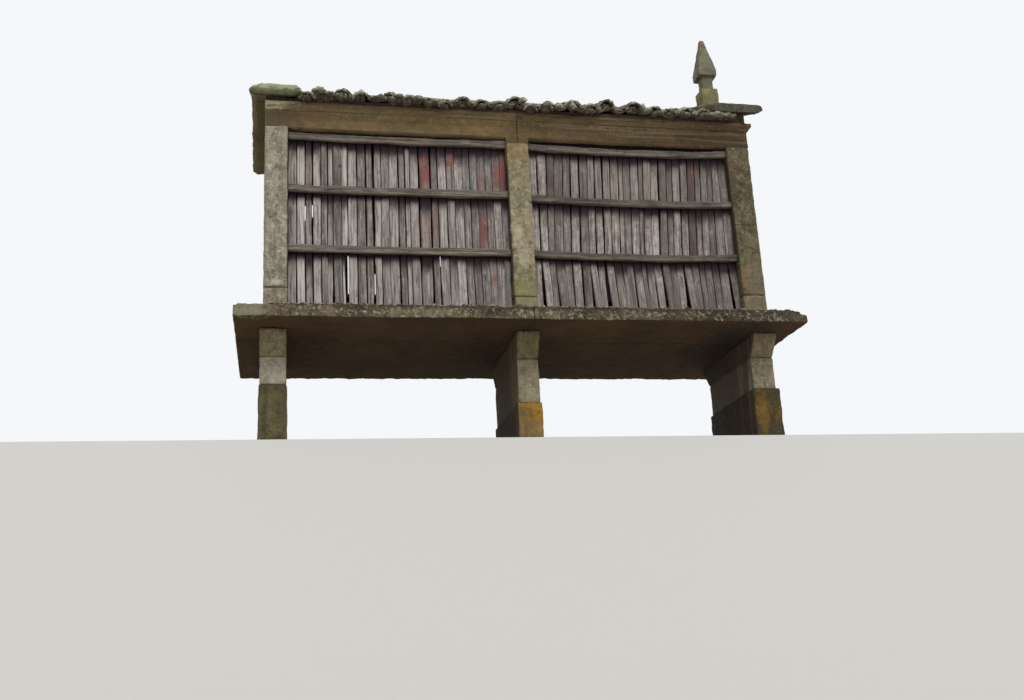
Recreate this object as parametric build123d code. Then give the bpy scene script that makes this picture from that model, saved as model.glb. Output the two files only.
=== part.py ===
from build123d import *
import os
from math import asin, atan2, cos, degrees, radians, sin, tan

# Raised granary of dressed granite with slatted timber walls.
# Millimetres, +Z up. The origin is on the ground, under the middle of the platform.
# X runs along the building, and Y from the front wall to the back wall.

# Stone frame, in plan
body_length = 5000.0
body_width = 1495.0
post_depth = 230.0
post_widths = {"left": 222.0, "middle": 233.0, "right": 246.0}

# Piers, from the ground up
pier_height = 1034.0
pier_widths = {"left": 245.0, "middle": 219.0, "right": 245.0}
pier_offsets = {"left": -18.0, "middle": 13.0, "right": 70.0}
pier_inset = 169.0
pier_base_heights = {"left": 532.0, "middle": 351.0, "right": 482.0}
pier_base_ledges = {"left": 8.0, "middle": 12.0, "right": 22.0}
pier_cap_heights = {"left": 238.0, "middle": 244.0, "right": 222.0}
pier_cap_reach = 147.0
pier_cap_lip = 40.0

# Platform slabs
platform_thickness = 150.0
platform_end_overhang = 260.0
platform_side_overhang = 312.0
platform_side_edge = 118.0
platform_end_edges = {"left": 103.0, "right": 70.0}
platform_back_part = 1370.0
slab_joint = 3.0

# Posts and lintels
post_base_heights = {"left": 242.0, "middle": 183.0, "right": 239.0}
post_base_insets = {"left": 0.0, "middle": 12.0, "right": 0.0}
wall_height = 1899.0
post_head_levels = {"left": 15.0, "middle": -62.0, "right": 0.0}
lintel_height = 260.0
cornice_fillet = 40.0
cornice_hollow = 12.0
cornice_bead = 24.0
cornice_reach = 45.0
cornice_bead_reach = 18.0

# Roof
roof_pitch = 25.0
verge_overhang = 152.0
verge_projection = 155.0
verge_lifts = {"left": 0.0, "right": 65.0}
verge_thicknesses = {"left": 120.0, "right": 104.0}
verge_widths = {"left": 475.0, "right": 555.0}
verge_shoulders = {"left": 110.0, "right": 52.0}
verge_nose = 49.0
verge_nose_rise = 38.0
verge_round_share = 0.33
verge_inner_chamfer = 30.0
verge_joint = 3.0
deck_thickness = 25.0
deck_overhang = 55.0
deck_ridge_gap = 2.0
ridge_beam_width = 110.0
ridge_beam_depth = 140.0
ridge_beam_bearing = 90.0
tile_covers = 20
tile_thickness = 14.0
tile_rise = 38.0
tile_overhang = 150.0
tile_side_gap = 3.0
ridge_tile_radius = 90.0

# Pinnacle on the right gable
pinnacle_x = 2425.0
pinnacle_base_width = 200.0
pinnacle_base_top = 4152.0
pinnacle_shaft_width = 128.0
pinnacle_shaft_height = 168.0
pinnacle_cap_width = 212.0
pinnacle_cap_fascia = 76.0
pinnacle_spire_height = 418.0
pinnacle_tip_width = 44.0

# Timber walls
wall_recess = 30.0
rail_height = 72.0
rail_depth = 50.0
slat_thickness = 25.0
slat_gap = 8.0
slat_widths_left_bay = (
    72.0, 72.0, 62.0, 74.0, 54.0, 44.0, 74.0, 52.0, 82.0, 79.0, 65.0, 66.0, 72.0, 84.0, 58.0, 40.0,
    84.0, 108.0, 62.0, 82.0, 72.0, 78.0, 63.0, 69.0, 74.0, 64.0, 72.0, 52.0,
)
slat_widths_right_bay = (
    73.0, 77.0, 60.0, 84.0, 72.0, 87.0, 79.0, 66.0, 78.0, 75.0, 79.0, 40.0, 67.0, 77.0, 42.0, 72.0,
    77.0, 77.0, 57.0, 77.0, 72.0, 74.0, 55.0, 67.0, 62.0, 84.0, 61.0,
)
rail_tops_left_bay = (1868.0, 1313.0, 693.0)
rail_tops_right_bay = (1858.0, 1289.0, 692.0)
rail_sags = {"left": 6.0, "right": 24.0}
door_side_board = 118.0
door_height = 1560.0
door_thickness = 32.0
door_gap = 3.0
door_setback = 12.0
door_boards = 5
door_groove = 4.0
door_ledge_height = 110.0
door_ledge_depth = 28.0
door_ledge_levels = (280.0, 1200.0)
frame_width = 70.0
frame_depth = 80.0

# Sizes worked out from the ones above
half_length = body_length / 2
half_width = body_width / 2
slope = radians(roof_pitch)
post_lefts = {
    "left": -half_length,
    "middle": -post_widths["middle"] / 2,
    "right": half_length - post_widths["right"],
}
platform_top = pier_height + platform_thickness
lintel_bottom = platform_top + wall_height
lintel_top = lintel_bottom + lintel_height
inner_left = post_lefts["left"] + post_widths["left"]
inner_right = post_lefts["right"]
inner_half_width = half_width - post_depth
door_width = 2 * (inner_half_width - slat_gap - door_side_board - frame_width)
deck_rise = deck_thickness / cos(slope)
deck_ridge = lintel_top + tan(slope) * (half_width + cornice_reach)


def block(x_low, x_high, y_low, y_high, z_low, z_high):
    """A squared block between two corners."""
    size = (x_high - x_low, y_high - y_low, z_high - z_low)
    return Pos(x_low, y_low, z_low) * Box(*size, align=(Align.MIN, Align.MIN, Align.MIN))


def along_x(points, x_low, x_high):
    """A straight prism along X from an outline of (y, z) points."""
    outline = Polyline(*[(x_low, y, z) for y, z in points], close=True)
    return extrude(make_face(outline), amount=x_high - x_low, dir=(1, 0, 0))


def along_y(points, y_low, y_high):
    """A straight prism along Y from an outline of (x, z) points."""
    outline = Polyline(*[(x, y_low, z) for x, z in points], close=True)
    return extrude(make_face(outline), amount=y_high - y_low, dir=(0, 1, 0))


def across(solid):
    """The same piece on the other side of the building's long axis."""
    return mirror(solid, about=Plane.XZ)


def pier_centre(place):
    return post_lefts[place] + post_widths[place] / 2 + pier_offsets[place]


def pier_base(place):
    ledge = pier_base_ledges[place]
    half = pier_widths[place] / 2 + ledge
    reach = half_width - pier_inset + ledge
    centre = pier_centre(place)
    return block(centre - half, centre + half, -reach, reach, 0, pier_base_heights[place])


def pier_shaft(place):
    half = pier_widths[place] / 2
    reach = half_width - pier_inset
    centre = pier_centre(place)
    top = pier_height - pier_cap_heights[place]
    return block(centre - half, centre + half, -reach, reach, pier_base_heights[place], top)


def pier_cap(place):
    """Corbelled stone whose ends lean out to carry the edge of the platform."""
    half = pier_widths[place] / 2
    foot = half_width - pier_inset
    head = foot + pier_cap_reach
    bottom = pier_height - pier_cap_heights[place]
    lip = pier_height - pier_cap_lip
    outline = [(-foot, bottom), (foot, bottom), (head, lip), (head, pier_height)]
    outline += [(-head, pier_height), (-head, lip)]
    centre = pier_centre(place)
    return along_x(outline, centre - half, centre + half)


def platform():
    """The whole platform, level inside the walls and washed down to its edges."""
    x_high = half_length + platform_end_overhang
    y_high = half_width + platform_side_overhang
    side_z = pier_height + platform_side_edge
    section = [(-y_high, pier_height), (y_high, pier_height), (y_high, side_z)]
    section += [(half_width, platform_top), (-half_width, platform_top), (-y_high, side_z)]
    left_z = pier_height + platform_end_edges["left"]
    right_z = pier_height + platform_end_edges["right"]
    length = [(-x_high, pier_height), (x_high, pier_height), (x_high, right_z)]
    length += [(half_length, platform_top), (-half_length, platform_top), (-x_high, left_z)]
    return along_x(section, -x_high, x_high) & along_y(length, -y_high, y_high)


def platform_slabs():
    """Four slabs that meet over the middle pier and along the back of the front row."""
    whole = platform()
    x_end = half_length + platform_end_overhang
    y_end = half_width + platform_side_overhang
    y_joint = y_end - platform_back_part
    half_gap = slab_joint / 2
    spans = {"left": (-x_end, -half_gap), "right": (half_gap, x_end)}
    rows = {"front": (-y_end, y_joint - half_gap), "back": (y_joint + half_gap, y_end)}
    slabs = {}
    for row, (y_low, y_high) in rows.items():
        for side, (x_low, x_high) in spans.items():
            share = block(x_low, x_high, y_low, y_high, pier_height, platform_top)
            slabs[f"{row}_{side}_slab"] = whole & share
    return slabs


def post_base(place):
    x_low = post_lefts[place] + post_base_insets[place]
    x_high = post_lefts[place] + post_widths[place] - post_base_insets[place]
    top = platform_top + post_base_heights[place]
    return block(x_low, x_high, -half_width, -inner_half_width, platform_top, top)


def post(place):
    x_low = post_lefts[place]
    bottom = platform_top + post_base_heights[place]
    top = lintel_bottom + post_head_levels[place]
    return block(x_low, x_low + post_widths[place], -half_width, -inner_half_width, bottom, top)


def cornice_outline():
    """Section of the moulding on the front lintel: bead, hollow and top fillet."""
    bead_z = lintel_top - cornice_fillet - cornice_hollow - cornice_bead
    hollow_low = (cornice_bead_reach, bead_z + cornice_bead)
    hollow_high = (cornice_reach, lintel_top - cornice_fillet)
    turn = cos(radians(45))
    width = cornice_reach - cornice_bead_reach
    middle = (hollow_high[0] - turn * width, hollow_low[1] + turn * cornice_hollow)
    corners = [(0, bead_z), (cornice_bead_reach, bead_z), hollow_low]
    return corners, middle, [hollow_high, (cornice_reach, lintel_top), (0, lintel_top)]


def lintel_ring():
    """Lintels of all four sides in one ring, with the moulding mitred round it."""
    lower, middle, upper = cornice_outline()
    place = [Vector(0, -half_width - out, z) for out, z in lower]
    rest = [Vector(0, -half_width - out, z) for out, z in upper]
    hollow = ThreePointArc(place[-1], Vector(0, -half_width - middle[0], middle[1]), rest[0])
    edges = Polyline(*place) + hollow + Polyline(*rest, place[0])
    path = Pos(0, 0, lintel_top) * Rectangle(body_length, body_width).wire()
    moulding = sweep(make_face(edges), path=path, transition=Transition.RIGHT)
    outside = block(-half_length, half_length, -half_width, half_width, lintel_bottom, lintel_top)
    hole = block(inner_left, inner_right, -inner_half_width, inner_half_width, lintel_bottom, lintel_top)
    return outside + moulding - hole


def seated(stone, place, x_low, x_high):
    """A lintel stone let down onto a low post by a bearing pad, or notched over a high one."""
    level = post_head_levels[place]
    x_low = max(x_low, post_lefts[place])
    x_high = min(x_high, post_lefts[place] + post_widths[place])
    if level == 0 or x_low >= x_high:
        return stone
    z_low = lintel_bottom + min(level, 0)
    seat = block(x_low, x_high, -half_width, -inner_half_width, z_low, z_low + abs(level))
    return stone - seat if level > 0 else stone + seat


def lintels():
    """The ring cut into stones, two on each long side and one at each end, plain on the left end."""
    ring = lintel_ring()
    y_end = half_width + cornice_reach
    stones = {}
    for side, x_low, x_high in (("left", -half_length, 0), ("right", 0, half_length + cornice_reach)):
        stone = ring & block(x_low, x_high, -y_end, -inner_half_width, lintel_bottom, lintel_top)
        for place in post_widths:
            stone = seated(stone, place, x_low, x_high)
        stones[f"front_{side}_lintel"] = stone
        stones[f"back_{side}_lintel"] = across(stone)
        end_share = block(x_low, x_high, -inner_half_width, inner_half_width, lintel_bottom, lintel_top)
        stones[f"{side}_end_lintel"] = ring & end_share
    return stones


def ridge_beam():
    half = ridge_beam_width / 2
    shoulder = deck_ridge - tan(slope) * half
    bottom = deck_ridge - ridge_beam_depth
    outline = [(-half, bottom), (half, bottom), (half, shoulder), (0, deck_ridge), (-half, shoulder)]
    return along_x(outline, inner_left - ridge_beam_bearing, inner_right + ridge_beam_bearing)


def gable(side):
    heel = lintel_top + verge_lifts[side] + tan(slope) * verge_overhang
    apex = heel + tan(slope) * half_width
    outline = [(-half_width, lintel_top), (half_width, lintel_top), (half_width, heel)]
    outline += [(0, apex), (-half_width, heel)]
    x_low, x_high = (-half_length, inner_left) if side == "left" else (inner_right, half_length)
    return along_x(outline, x_low, x_high) - ridge_beam()


def verge_span(side):
    outer = half_length + verge_projection
    if side == "left":
        return -outer, -outer + verge_widths["left"]
    return outer - verge_widths["right"], outer


def verge_slab(side):
    """Front slab of the pair that covers a gable, with a nosed outer edge, from eave to ridge."""
    x_low, x_high = verge_span(side)
    outer, inner = (x_low, x_high) if side == "left" else (x_high, x_low)
    inward = 1 if side == "left" else -1
    thickness = verge_thicknesses[side]
    shoulder = verge_shoulders[side]
    eave = -half_width - verge_overhang
    bottom = lintel_top + verge_lifts[side]
    round_z = thickness - verge_round_share * (thickness - verge_nose_rise)
    outline = [(inner, 0), (outer + inward * verge_nose, 0), (outer, verge_nose_rise)]
    outline += [(outer + inward * verge_round_share * shoulder, round_z)]
    outline += [(outer + inward * shoulder, thickness), (inner - inward * verge_inner_chamfer, thickness)]
    outline += [(inner, thickness - verge_inner_chamfer)]
    end = make_face(Polyline(*[(x, eave, bottom + z) for x, z in outline], close=True))
    run = -verge_joint / 2 - eave
    return extrude(end, amount=run / cos(slope), dir=(0, cos(slope), sin(slope)))


def roof_deck():
    """Boarding of the front slope, on the lintel's outer edge and the ridge beam."""
    eave = -half_width - deck_overhang
    ridge = -deck_ridge_gap / 2
    eave_z = deck_ridge + tan(slope) * eave
    ridge_z = deck_ridge + tan(slope) * ridge
    outline = [(eave, eave_z), (ridge, ridge_z), (ridge, ridge_z + deck_rise), (eave, eave_z + deck_rise)]
    return along_x(outline, inner_left, inner_right)


def tile_field():
    """Width between the two verges that the tiles fill."""
    return verge_span("left")[1] + tile_side_gap, verge_span("right")[0] - tile_side_gap


def tile_section():
    """Covers and pans in one wave of arcs, its lowest points on the level y = 0."""
    x_low, x_high = tile_field()
    x_low += tile_thickness / 2
    x_high -= tile_thickness / 2
    step = (x_high - x_low) / (2 * tile_covers - 1)
    radius = (step ** 2 / 4 + tile_rise ** 2) / (2 * tile_rise)
    half_turn = asin(step / 2 / radius)
    middle = tile_rise + tile_thickness / 2
    upper = []
    lower = []
    for number in range(2 * tile_covers - 1):
        up = 1 if number % 2 == 0 else -1
        x_centre = x_low + (number + 0.5) * step
        y_centre = middle + up * (tile_rise - radius)
        for chain, r in ((upper, radius + up * tile_thickness / 2), (lower, radius - up * tile_thickness / 2)):
            ends = [(x_centre + r * sin(turn), y_centre + up * r * cos(turn))
                    for turn in (-half_turn, 0, half_turn)]
            chain.append(ThreePointArc(*ends))
    sides = [Line(lower[0] @ 0, upper[0] @ 0), Line(upper[-1] @ 1, lower[-1] @ 1)]
    return make_face(Curve() + upper + lower + sides)


def tile_sheet():
    """Tiles of the front slope, laid on the boarding."""
    down = (0, -cos(slope), -sin(slope))
    ridge = -deck_ridge_gap / 2
    top = (0, ridge, deck_ridge + deck_rise + tan(slope) * ridge)
    length = (half_width + tile_overhang + ridge) / cos(slope)
    laid = Plane(origin=top, x_dir=(1, 0, 0), z_dir=down)
    return extrude(laid * tile_section(), amount=length, dir=down)


def ridge_tiles():
    """Half-round tiles that straddle the top of both slopes."""
    x_low, x_high = tile_field()
    crest = deck_ridge + deck_rise + (2 * tile_rise + tile_thickness) / cos(slope)
    inner = ridge_tile_radius - tile_thickness
    seat = crest - tan(slope) * inner
    ring = Circle(ridge_tile_radius) - Circle(inner)
    half_ring = ring & Pos(0, ridge_tile_radius) * Rectangle(4 * ridge_tile_radius, 2 * ridge_tile_radius)
    plane = Plane(origin=(x_low, 0, seat), x_dir=(0, 1, 0), z_dir=(1, 0, 0))
    return extrude(plane * half_ring, amount=x_high - x_low, dir=(1, 0, 0))


def pinnacle_base():
    """Block with a notched foot that rides on the ridge of the right verge slabs."""
    half = pinnacle_base_width / 2
    ridge = lintel_top + verge_lifts["right"] + tan(slope) * (half_width + verge_overhang)
    ridge += verge_thicknesses["right"]
    foot = ridge - tan(slope) * half
    outline = [(-half, foot), (0, ridge), (half, foot), (half, pinnacle_base_top), (-half, pinnacle_base_top)]
    return along_x(outline, pinnacle_x - half, pinnacle_x + half)


def pinnacle():
    """Square shaft, overhanging cap with a fascia, and a tall pyramid."""
    shaft = Pos(pinnacle_x, 0, pinnacle_base_top) * Box(
        pinnacle_shaft_width, pinnacle_shaft_width, pinnacle_shaft_height,
        align=(Align.CENTER, Align.CENTER, Align.MIN))
    cap_z = pinnacle_base_top + pinnacle_shaft_height
    fascia = Pos(pinnacle_x, 0, cap_z) * Box(
        pinnacle_cap_width, pinnacle_cap_width, pinnacle_cap_fascia,
        align=(Align.CENTER, Align.CENTER, Align.MIN))
    spire_z = cap_z + pinnacle_cap_fascia
    foot = Pos(pinnacle_x, 0, spire_z) * Rectangle(pinnacle_cap_width, pinnacle_cap_width)
    lean = degrees(atan2((pinnacle_cap_width - pinnacle_tip_width) / 2, pinnacle_spire_height))
    return shaft + fascia + extrude(foot, amount=pinnacle_spire_height, taper=lean)


def slat_spans(low, high, widths):
    """Places of uneven boards that fill a bay, with a gap on each side of a board."""
    spans = []
    start = low + slat_gap
    number = 0
    narrowest = min(widths)
    while high - start > narrowest + slat_gap:
        end = start + widths[number % len(widths)]
        if high - end < narrowest + 2 * slat_gap:
            end = high - slat_gap
        spans.append((start, end))
        start = end + slat_gap
        number += 1
    return spans


def front_slats(x_low, x_high, widths):
    back = -half_width + wall_recess + rail_depth + slat_thickness
    front = back - slat_thickness
    spans = slat_spans(x_low, x_high, widths)
    return [block(a, b, front, back, platform_top, lintel_bottom) for a, b in spans]


def right_end_slats():
    inner = half_length - wall_recess - rail_depth - slat_thickness
    outer = inner + slat_thickness
    spans = slat_spans(-inner_half_width, inner_half_width, slat_widths_right_bay)
    return [block(inner, outer, a, b, platform_top, lintel_bottom) for a, b in spans]


def rail(x_low, x_high, top, sag):
    """A rail on the front wall between two posts, bent down in the middle."""
    front = -half_width + wall_recess
    z_top = platform_top + top
    x_middle = (x_low + x_high) / 2
    upper = ThreePointArc((x_low, front, z_top), (x_middle, front, z_top - sag), (x_high, front, z_top))
    lower = Pos(0, 0, -rail_height) * upper
    sides = [Line(upper @ 0, lower @ 0), Line(upper @ 1, lower @ 1)]
    return extrude(make_face(Curve() + [upper, lower] + sides), amount=rail_depth, dir=(0, 1, 0))


def front_rails():
    bays = (
        (inner_left, post_lefts["middle"], rail_tops_left_bay, rail_sags["left"]),
        (-post_lefts["middle"], inner_right, rail_tops_right_bay, rail_sags["right"]),
    )
    return [rail(low, high, top, sag) for low, high, tops, sag in bays for top in tops]


def right_end_rails():
    inner = half_length - wall_recess - rail_depth
    rails = []
    for top in rail_tops_left_bay:
        z_top = platform_top + top
        rails.append(block(inner, inner + rail_depth, -inner_half_width, inner_half_width,
                           z_top - rail_height, z_top))
    return rails


def door_frame():
    """Jambs, head and sill of the doorway in the left end wall."""
    outer = -half_length + wall_recess
    half = door_width / 2
    sill_top = platform_top + frame_width
    head = sill_top + door_height
    whole = block(outer, outer + frame_depth, -half - frame_width, half + frame_width,
                  platform_top, head + frame_width)
    return whole - block(outer, outer + frame_depth, -half, half, sill_top, head)


def granary_door():
    """Boarded door with two ledges behind, shut on its sill."""
    outer = -half_length + wall_recess + door_setback
    half = door_width / 2 - door_gap
    bottom = platform_top + frame_width
    top = bottom + door_height - door_gap
    door = block(outer, outer + door_thickness, -half, half, bottom, top)
    board = 2 * half / door_boards
    for number in range(1, door_boards):
        seam = -half + number * board
        door -= block(outer, outer + door_groove, seam - door_groove / 2, seam + door_groove / 2, bottom, top)
    inside = outer + door_thickness
    for level in door_ledge_levels:
        z_low = bottom + level
        door += block(inside, inside + door_ledge_depth, -half + door_ledge_depth, half - door_ledge_depth,
                      z_low, z_low + door_ledge_height)
    return door


def left_end_slats():
    """Boards beside and above the doorway."""
    outer = -half_length + wall_recess + rail_depth
    inner = outer + slat_thickness
    jamb = door_width / 2 + frame_width
    head = platform_top + door_height + 2 * frame_width
    side = block(outer, inner, -inner_half_width + slat_gap, -jamb, platform_top, lintel_bottom)
    spans = slat_spans(-jamb, jamb, slat_widths_left_bay)
    above = [block(outer, inner, a, b, head, lintel_bottom) for a, b in spans]
    return [side, across(side)] + above


def save(name, solids):
    """Write one piece, or a set of like pieces, as one file."""
    shape = Compound(children=solids) if isinstance(solids, list) else solids
    shape.label = name
    export_step(shape, f"parts/{name}.step")


def main():
    os.makedirs("parts", exist_ok=True)
    for place in pier_widths:
        save(f"{place}_pier_base", pier_base(place))
        save(f"{place}_pier_shaft", pier_shaft(place))
        save(f"{place}_pier_cap", pier_cap(place))
        save(f"front_{place}_post", post(place))
        save(f"back_{place}_post", across(post(place)))
    bases = [post_base(place) for place in post_widths]
    save("front_post_bases", bases)
    save("back_post_bases", [across(base) for base in bases])
    for name, slab in platform_slabs().items():
        save(name, slab)
    for name, stone in lintels().items():
        save(name, stone)
    for side in verge_widths:
        save(f"{side}_gable", gable(side))
        slab = verge_slab(side)
        save(f"{side}_verge_slabs", [slab, across(slab)])
    save("pinnacle_base", pinnacle_base())
    save("pinnacle", pinnacle())
    save("ridge_beam", ridge_beam())
    save("front_roof_boards", roof_deck())
    save("back_roof_boards", across(roof_deck()))
    save("front_roof_tiles", tile_sheet())
    save("back_roof_tiles", across(tile_sheet()))
    save("ridge_tiles", ridge_tiles())
    bays = {
        "left": (inner_left, post_lefts["middle"], slat_widths_left_bay),
        "right": (-post_lefts["middle"], inner_right, slat_widths_right_bay),
    }
    for side, bay in bays.items():
        slats = front_slats(*bay)
        save(f"front_{side}_slats", slats)
        save(f"back_{side}_slats", [across(slat) for slat in slats])
    save("right_end_slats", right_end_slats())
    save("left_end_slats", left_end_slats())
    rails = front_rails()
    save("front_rails", rails)
    save("back_rails", [across(bar) for bar in rails])
    save("right_end_rails", right_end_rails())
    save("door_frame", door_frame())
    save("granary_door", granary_door())


main()
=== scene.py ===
import random
from math import cos, exp, pi, radians, sin

import bmesh
import bpy
import numpy as np
from mathutils import Matrix, Vector, noise


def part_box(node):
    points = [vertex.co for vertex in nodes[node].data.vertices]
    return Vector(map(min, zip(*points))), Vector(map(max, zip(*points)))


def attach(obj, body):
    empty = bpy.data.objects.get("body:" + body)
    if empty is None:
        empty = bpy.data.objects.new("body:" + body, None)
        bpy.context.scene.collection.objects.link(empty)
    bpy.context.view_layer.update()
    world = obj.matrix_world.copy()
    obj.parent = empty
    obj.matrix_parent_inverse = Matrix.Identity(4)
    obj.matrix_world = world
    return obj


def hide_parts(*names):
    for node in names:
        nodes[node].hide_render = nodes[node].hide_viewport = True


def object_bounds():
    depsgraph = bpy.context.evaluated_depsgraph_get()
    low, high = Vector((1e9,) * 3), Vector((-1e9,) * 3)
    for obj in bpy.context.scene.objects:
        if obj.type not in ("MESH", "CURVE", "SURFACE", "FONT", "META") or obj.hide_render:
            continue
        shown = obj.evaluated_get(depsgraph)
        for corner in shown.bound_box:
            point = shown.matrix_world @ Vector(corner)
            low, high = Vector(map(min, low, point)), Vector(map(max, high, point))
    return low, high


# Raised granary: weathered stone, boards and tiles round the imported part.
# Metres, +Z up, the same frame as the part.

# Camera, found from the straight edges in the photograph
camera_place = (-2.334, -10.958, -2.289)
camera_yaw = 11.968
camera_pitch = 16.608
camera_roll = -3.097
camera_lens = 40.06

# Stage and light
terrace_edge_y = -0.62
lower_ground_z = -3.9
stage_reach = 40.0
sky_colour = (0.96, 0.98, 1.0, 1)
lamp_strength = 1.7
lamp_spread = 50
lamp_turn = (52, 0, 22)

# Roof, as in the part
roof_slope = radians(25)
deck_ridge_y = 0.001
slope_length = 0.965
tile_columns = (-2.095, -1.935, -1.765, -1.575, -1.285, -1.1, -0.93, -0.745, -0.56, -0.37, -0.187,
                -0.03, 0.128, 0.286, 0.564, 0.757, 0.93, 1.22, 1.45, 1.61, 1.79, 1.98)
tile_lifts = (-0.04, -0.03, 0.002, -0.016, -0.012, -0.024, -0.042, -0.06, -0.016, -0.028, -0.032,
              0.02, -0.055, -0.038, 0.012, -0.02, 0.042, 0.024, -0.01, -0.03, -0.008, -0.014)
# Loose stones and bedding at the front eave: place, half width, half height and tone
eave_stones = (
    (-2.178, -0.9, 3.385, 0.03, 0.035, 1.0), (-1.986, -0.9, 3.408, 0.064, 0.045, 0.9),
    (-1.88, -0.91, 3.375, 0.045, 0.028, 0.7), (-1.4, -0.9, 3.362, 0.075, 0.03, 0.3),
    (-1.2, -0.91, 3.382, 0.04, 0.026, 0.6), (-1.02, -0.91, 3.37, 0.06, 0.03, 0.5),
    (-0.86, -0.9, 3.345, 0.04, 0.026, 0.5), (0.045, -0.91, 3.405, 0.04, 0.03, 0.8),
    (0.135, -0.9, 3.348, 0.05, 0.024, 0.3), (0.3, -0.91, 3.378, 0.06, 0.028, 0.6),
    (0.42, -0.9, 3.365, 0.065, 0.032, 0.6), (1.3, -0.91, 3.395, 0.035, 0.03, 0.7),
    (2.05, -0.87, 3.368, 0.12, 0.036, 0.2), (2.16, -0.86, 3.385, 0.1, 0.04, 0.7),
    (2.26, -0.85, 3.385, 0.09, 0.034, 0.5))
tile_courses = 3
tile_length = 0.42
tile_thickness = 0.016
cover_radius = 0.092
cover_top_radius = 0.074
pan_radius = 0.098
pan_foot_radius = 0.082
ridge_tile_count = 12
ridge_tile_radius = 0.09
ridge_tile_lap = 0.05

# Walls, as in the part
platform_z = 1.184
rail_undersides = {"left": (1.796, 1.241, 0.621), "right": (1.786, 1.217, 0.620)}
lowest_rails = {bay: platform_z + levels[-1] for bay, levels in rail_undersides.items()}
rail_sags = {"left": 0.006, "right": 0.024}
rail_shadow = 0.105
post_inner_edges = {"left": (-2.278, -0.1165), "right": (0.1165, 2.254)}
# How far the front boards of the right bay lean above the lowest rail, for each metre up from a level
board_lean = 0.045
board_lean_level = 2.139
foot_splays = {"left": 0.006, "right": 0.034}
front_joint = 0.004
tight_joint = -0.002
board_columns = (0.0, 0.07, 0.2, 0.35, 0.5, 0.65, 0.8, 0.93, 1.0)
board_step = 0.085
steps_under_rails = (0.0, 0.025, 0.055, 0.09, 0.14, 0.2)
# Slits in the back wall that the sky shows through: place along the wall, lowest and highest point
back_slits = ((-2.086, 2.7, 2.88), (-2.007, 2.74, 2.89), (-1.629, 1.84, 2.3), (-1.342, 1.86, 2.1),
              (-0.624, 2.2, 2.32))

# Platform, as in the part: where the walls stand, and how far the top drops from there to each edge
wall_x = 2.5
wall_y = 0.7475
platform_drops = {"side": 0.032, "left": 0.047, "right": 0.08}
grit_count = 900

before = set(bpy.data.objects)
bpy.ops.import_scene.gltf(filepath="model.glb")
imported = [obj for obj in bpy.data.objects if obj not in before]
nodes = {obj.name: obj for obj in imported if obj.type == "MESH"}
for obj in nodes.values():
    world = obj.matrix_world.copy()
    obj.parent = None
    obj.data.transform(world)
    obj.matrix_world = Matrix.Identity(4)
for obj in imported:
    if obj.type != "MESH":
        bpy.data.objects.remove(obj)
cad_low, cad_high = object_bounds()
rng = random.Random(11)
uniform = rng.uniform
scene = bpy.context.scene
deck_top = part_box("front_roof_boards")[1].z


def linear(tone):
    """The linear colour of a tone given in 0 to 255 as it shows."""
    values = [part / 255 for part in tone]
    values = [part / 12.92 if part <= 0.04045 else ((part + 0.055) / 1.055) ** 2.4 for part in values]
    return (*values, 1.0)


def shade(tone, factor):
    """A tone made darker or lighter."""
    return [min(255, part * factor) for part in tone]


def add_node(tree, kind, inputs=None, **settings):
    """A shader node with its settings, and with its inputs set or linked."""
    made = tree.nodes.new("ShaderNode" + kind)
    for name, value in settings.items():
        setattr(made, name, value)
    for key, value in (inputs or {}).items():
        if isinstance(value, bpy.types.NodeSocket):
            tree.links.new(value, made.inputs[key])
        else:
            made.inputs[key].default_value = value
    return made


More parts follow.
